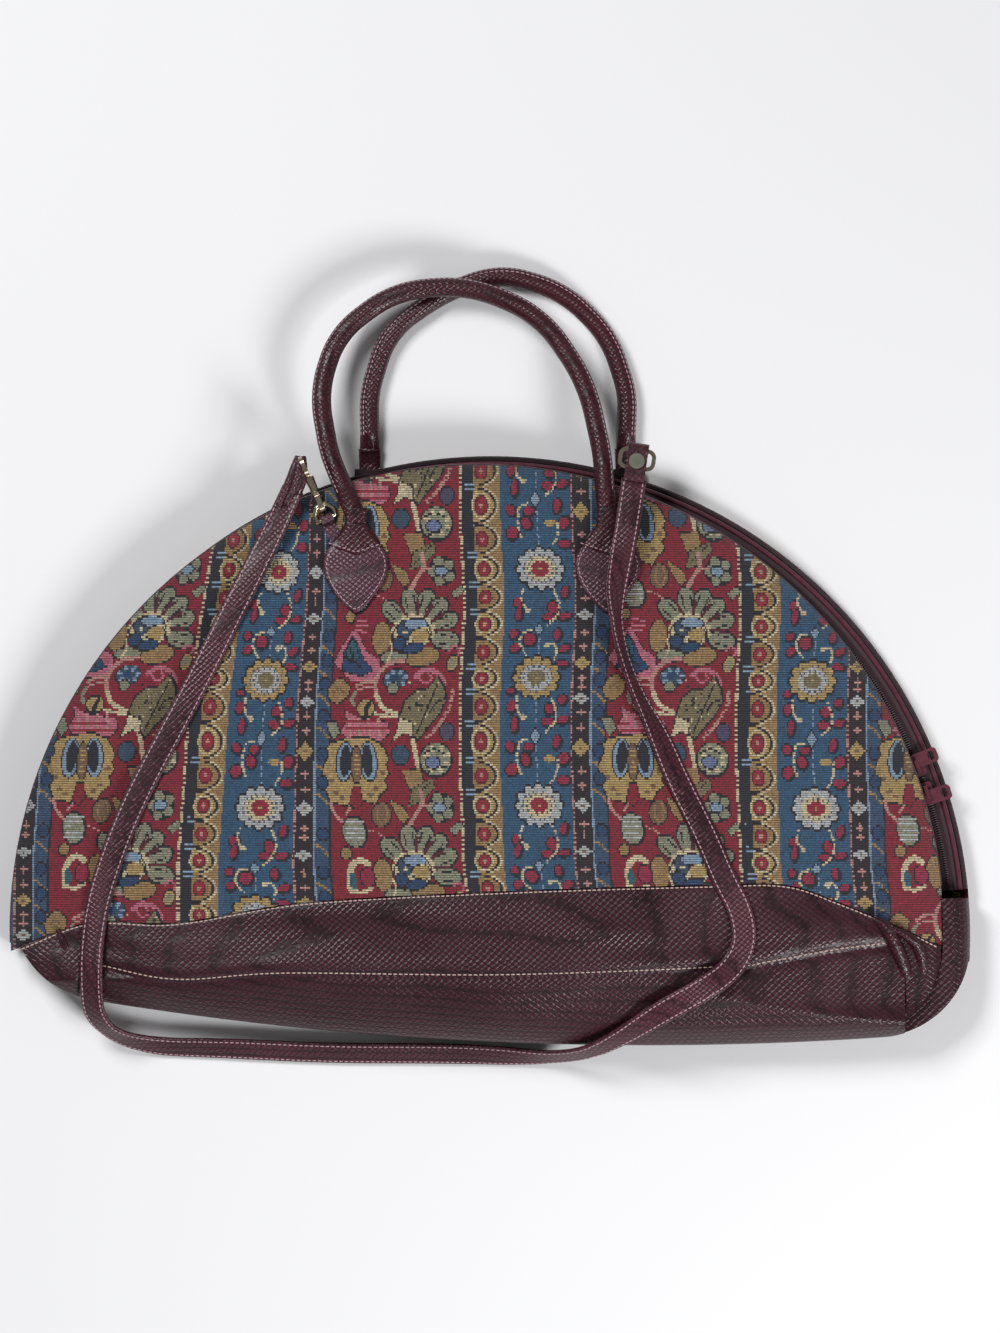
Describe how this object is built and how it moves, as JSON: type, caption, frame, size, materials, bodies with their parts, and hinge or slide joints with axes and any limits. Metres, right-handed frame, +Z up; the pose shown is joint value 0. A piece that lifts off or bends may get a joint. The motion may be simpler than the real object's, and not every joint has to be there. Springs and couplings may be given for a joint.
{
  "type": "carpet bag",
  "caption": "Half-moon zipped carpet bag in striped tapestry and embossed leather, with rolled handles and a clip-on shoulder strap.",
  "frame": {"origin": "centre of the bag's arc, on the floor the bag lies on", "axes": "+X towards the bag's right end, +Y towards its handles, +Z up out of its front panel"},
  "size_m": [0.6132, 0.5082, 0.063],
  "materials": {
    "tapestry": "ribbed woven tapestry in stripes and flowers",
    "leather": "lizard-embossed burgundy leather",
    "handle_leather": "lizard-embossed burgundy leather, rolled and stitched",
    "handle_core": "twisted cord filling",
    "piping": "shiny smooth piping",
    "zip_tape": "woven tape",
    "zip_coil": "moulded coil",
    "slider": "burgundy enamel",
    "hardware": "pale nickel-gold plate",
    "strap": "lizard-embossed strap with two rows of stitching"
  },
  "bodies": {
    "bag": {"front_panel": "tapestry", "front_band": "leather", "base_panel": "leather", "back_panel": "tapestry", "back_band": "leather", "right_end_gusset": "leather", "left_end_gusset": "leather", "front_piping": "piping", "back_piping": "piping", "zip_tape_front": "zip_tape", "zip_tape_back": "zip_tape", "zip_coil_front": "zip_coil", "zip_coil_back": "zip_coil", "front_tab_left": "handle_leather", "front_tab_right": "handle_leather", "back_tab_left": "handle_leather", "back_tab_right": "handle_leather", "left_ring_keeper": "leather", "right_ring_keeper": "leather", "left_hook_eye": "hardware", "right_hook_eye": "hardware", "strap_end_left": "strap", "strap_end_right": "strap", "strap_cap": "hardware", "strap": "strap"},
    "upper_slider": {"upper_slider": "slider"},
    "upper_pull": {"upper_pull": "slider"},
    "lower_slider": {"lower_slider": "slider"},
    "lower_pull": {"lower_pull": "slider"},
    "front_handle": {"front_handle_cover": "handle_leather", "front_handle_core": "handle_core"},
    "back_handle": {"back_handle_cover": "handle_leather", "back_handle_core": "handle_core"},
    "left_ring": {"left_ring": "hardware"},
    "right_ring": {"right_ring": "hardware"},
    "left_hook": {"left_hook": "hardware"},
    "right_hook": {"right_hook": "hardware"},
    "left_gate": {"left_hook_gate": "hardware"},
    "right_gate": {"right_hook_gate": "hardware"}
  },
  "joints": [
    {"name": "upper_slider_travel", "type": "hinge", "parent": "bag", "child": "upper_slider", "pos_m": [0, 0, 0.014], "axis": [0, 0, 1], "range_deg": [0, 148]},
    {"name": "lower_slider_travel", "type": "hinge", "parent": "bag", "child": "lower_slider", "pos_m": [0, 0, 0.014], "axis": [0, 0, 1], "range_deg": [-8, 0]},
    {"name": "upper_pull_swing", "type": "hinge", "parent": "upper_slider", "child": "upper_pull", "pos_m": [0.2711, 0.11121, 0.0182], "axis": [0, 0, 1], "range_deg": [0, 90]},
    {"name": "lower_pull_swing", "type": "hinge", "parent": "lower_slider", "child": "lower_pull", "pos_m": [0.27947, 0.08809, 0.0182], "axis": [0, 0, 1], "range_deg": [-90, 0]},
    {"name": "front_handle_lift", "type": "hinge", "parent": "bag", "child": "front_handle", "pos_m": [0, 0.266, 0.0403], "axis": [1, 0, 0], "range_deg": [0, 105]},
    {"name": "back_handle_fold", "type": "hinge", "parent": "bag", "child": "back_handle", "pos_m": [0, 0.3025, 0.0032], "axis": [1, 0, 0], "range_deg": [-100, 0]},
    {"name": "left_ring_swing", "type": "hinge", "parent": "bag", "child": "left_ring", "pos_m": [-0.10453, 0.26609, 0.03719], "axis": [0.9158, 0.4017, 0], "range_deg": [-4, 4]},
    {"name": "right_ring_swing", "type": "hinge", "parent": "bag", "child": "right_ring", "pos_m": [0.08765, 0.26844, 0.03674], "axis": [0.9884, -0.1518, 0], "range_deg": [-4, 4]},
    {"name": "left_hook_swivel", "type": "hinge", "parent": "bag", "child": "left_hook", "pos_m": [-0.119, 0.299, 0.0393], "axis": [0.4017, -0.9158, 0], "range_deg": [-15, 15]},
    {"name": "right_hook_swivel", "type": "hinge", "parent": "bag", "child": "right_hook", "pos_m": [0.093, 0.304, 0.0389], "axis": [-0.1518, -0.9884, 0], "range_deg": [-15, 15]},
    {"name": "left_gate_hinge", "type": "hinge", "parent": "left_hook", "child": "left_gate", "pos_m": [-0.11081, 0.28032, 0.0432], "axis": [0.9158, 0.4017, 0], "range_deg": [0, 20], "stiffness_Nm_per_rad": 0.05, "springref_deg": -11.46},
    {"name": "right_gate_hinge", "type": "hinge", "parent": "right_hook", "child": "right_gate", "pos_m": [0.0899, 0.28384, 0.0428], "axis": [0.9884, -0.1518, 0], "range_deg": [0, 20], "stiffness_Nm_per_rad": 0.05, "springref_deg": -11.46}
  ]
}
